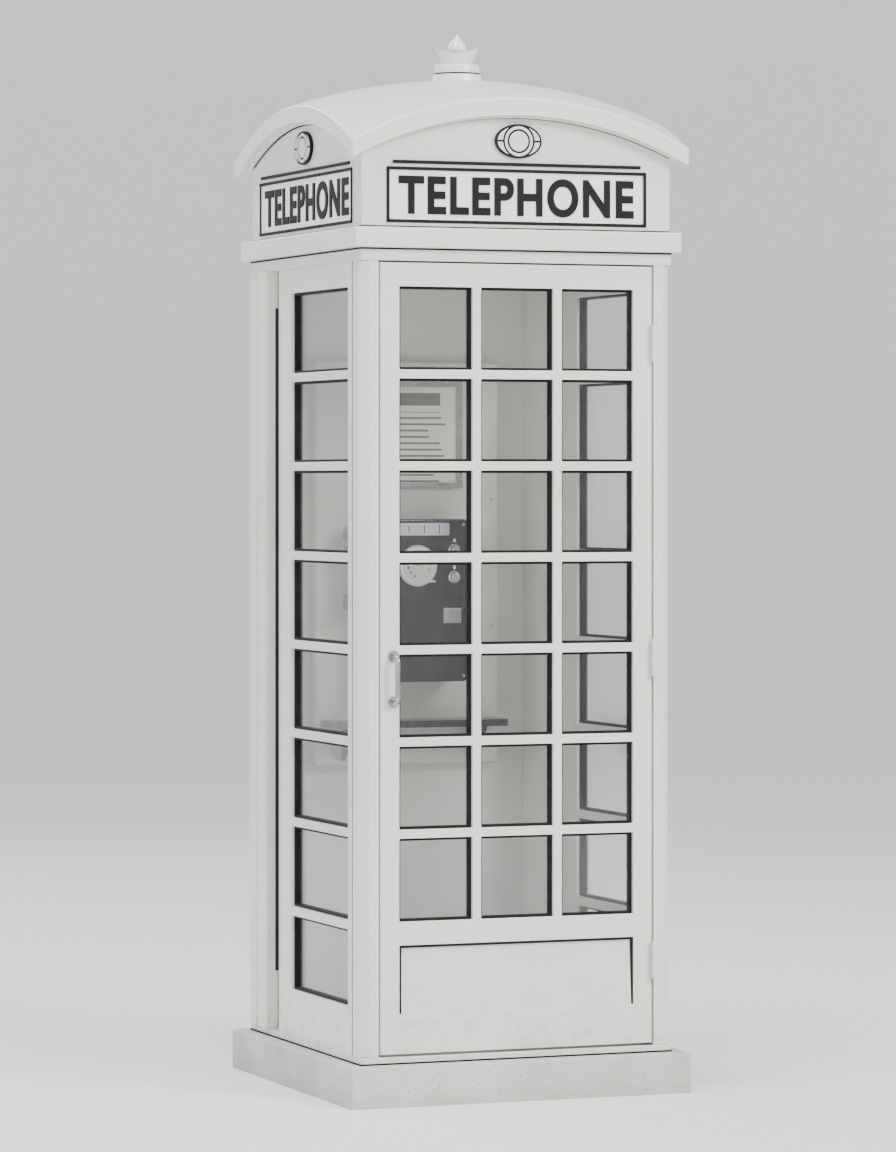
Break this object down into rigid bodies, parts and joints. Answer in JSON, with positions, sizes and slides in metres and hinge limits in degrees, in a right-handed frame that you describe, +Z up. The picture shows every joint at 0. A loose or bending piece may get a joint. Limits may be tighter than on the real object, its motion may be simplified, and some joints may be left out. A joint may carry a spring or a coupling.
{
  "type": "telephone booth",
  "caption": "Square cast-iron telephone kiosk with a glazed hinged door, glazed sides, lit signs, domed roof with crown finial and a coin telephone inside.",
  "frame": {"origin": "centre of the plinth's underside, on the ground", "axes": "+Z up, -Y out of the door, +X to the right of a person facing the door"},
  "size_m": [0.9, 0.9, 2.65],
  "materials": {
    "concrete": "matt cast concrete",
    "floor_plate": "worn ribbed plate",
    "enamel": "gloss paint",
    "door_enamel": "gloss paint",
    "gasket": "matt",
    "glass": "clear float glass",
    "steel": "satin",
    "sign_frame": "semi-gloss paint",
    "sign_opal": "opal glass",
    "ceiling_paint": "satin paint",
    "black_enamel": "stove enamel",
    "lamp_opal": "opal glass",
    "board": "satin paint",
    "paper": "matt",
    "dial_white": "vitreous enamel",
    "chrome": "polished",
    "brass": "worn",
    "bakelite": "polished bakelite"
  },
  "bodies": {
    "kiosk": {"plinth": "concrete", "floor_panel": "floor_plate", "sill_frame": "enamel", "head_frame": "enamel", "lintel": "enamel", "front_post_left": "enamel", "front_post_right": "enamel", "rear_pier_left": "enamel", "rear_pier_right": "enamel", "side_frame_left": "enamel", "side_frame_right": "enamel", "side_gaskets_left": "gasket", "side_gaskets_right": "gasket", "side_panes_left": "glass", "side_panes_right": "glass", "back_panel": "enamel", "hinge_leaves_frame": "enamel", "hinge_pins": "enamel", "door_seal": "gasket", "fascia_front": "enamel", "fascia_right": "enamel", "fascia_back": "enamel", "fascia_left": "enamel", "sign_frames": "sign_frame", "sign_glasses": "sign_opal", "fascia_beads": "sign_frame", "rosettes": "enamel", "rosette_plates": "sign_frame", "roof_dome": "enamel", "finial_base": "enamel", "finial_crown": "enamel", "ceiling_panel": "ceiling_paint", "lamp_holder": "black_enamel", "lamp_globe": "lamp_opal", "backboard": "board", "notice_frame": "steel", "notice_card": "paper", "shelf": "black_enamel", "shelf_brackets": "black_enamel", "phone_housing": "black_enamel", "dial_plate": "dial_white", "finger_stop": "chrome", "coin_plate": "chrome", "cord_gland": "gasket"},
    "door": {"door_frame": "door_enamel", "door_gaskets": "gasket", "door_panes": "glass", "kick_panel": "door_enamel", "kick_seal": "gasket", "door_handle": "steel", "handle_nuts": "steel", "hinge_leaves_door": "enamel"},
    "dial": {"finger_wheel": "chrome"},
    "handset": {"handset": "bakelite"},
    "hook": {"hook_arm": "chrome"},
    "button_a": {"button_a": "chrome"},
    "button_b": {"button_b": "chrome"},
    "flap": {"return_flap": "chrome"},
    "cash_door": {"cash_door": "black_enamel"},
    "lock": {"cash_lock": "brass"}
  },
  "joints": [
    {"name": "door_swing", "type": "hinge", "parent": "kiosk", "child": "door", "pos_m": [0.362, -0.419, 1.08], "axis": [0, 0, 1], "range_deg": [0, 95], "stiffness_Nm_per_rad": 4, "springref_deg": -28.65},
    {"name": "handset_lift", "type": "slide", "parent": "kiosk", "child": "handset", "axis": [0, 0, 1], "range_m": [0, 0.08]},
    {"name": "hook_switch", "type": "hinge", "parent": "kiosk", "child": "hook", "pos_m": [-0.117, 0.288, 1.344], "axis": [0, 1, 0], "range_deg": [0, 8]},
    {"name": "dial_turn", "type": "hinge", "parent": "kiosk", "child": "dial", "pos_m": [-0.018, 0.23, 1.3], "axis": [0, 1, 0], "range_deg": [0, 295], "stiffness_Nm_per_rad": 0.01, "springref_deg": -57.3},
    {"name": "button_a_push", "type": "slide", "parent": "kiosk", "child": "button_a", "axis": [0, 1, 0], "range_m": [0, 0.006], "stiffness_N_per_m": 300, "springref_m": -0.005},
    {"name": "button_b_push", "type": "slide", "parent": "kiosk", "child": "button_b", "axis": [0, 1, 0], "range_m": [0, 0.006], "stiffness_N_per_m": 300, "springref_m": -0.005},
    {"name": "flap_push", "type": "hinge", "parent": "kiosk", "child": "flap", "pos_m": [0.08, 0.238, 1.188], "axis": [1, 0, 0], "range_deg": [0, 75]},
    {"name": "cash_door_open", "type": "hinge", "parent": "kiosk", "child": "cash_door", "pos_m": [-0.093, 0.2305, 1.075], "axis": [0, 0, -1], "range_deg": [0, 100]},
    {"name": "lock_turn", "type": "hinge", "parent": "cash_door", "child": "lock", "pos_m": [0.062, 0.23, 1.075], "axis": [0, 1, 0], "range_deg": [0, 90]}
  ],
  "couplings": [
    {"joint": "hook_switch", "follows": "handset_lift", "rad_per_m": 1.745}
  ]
}
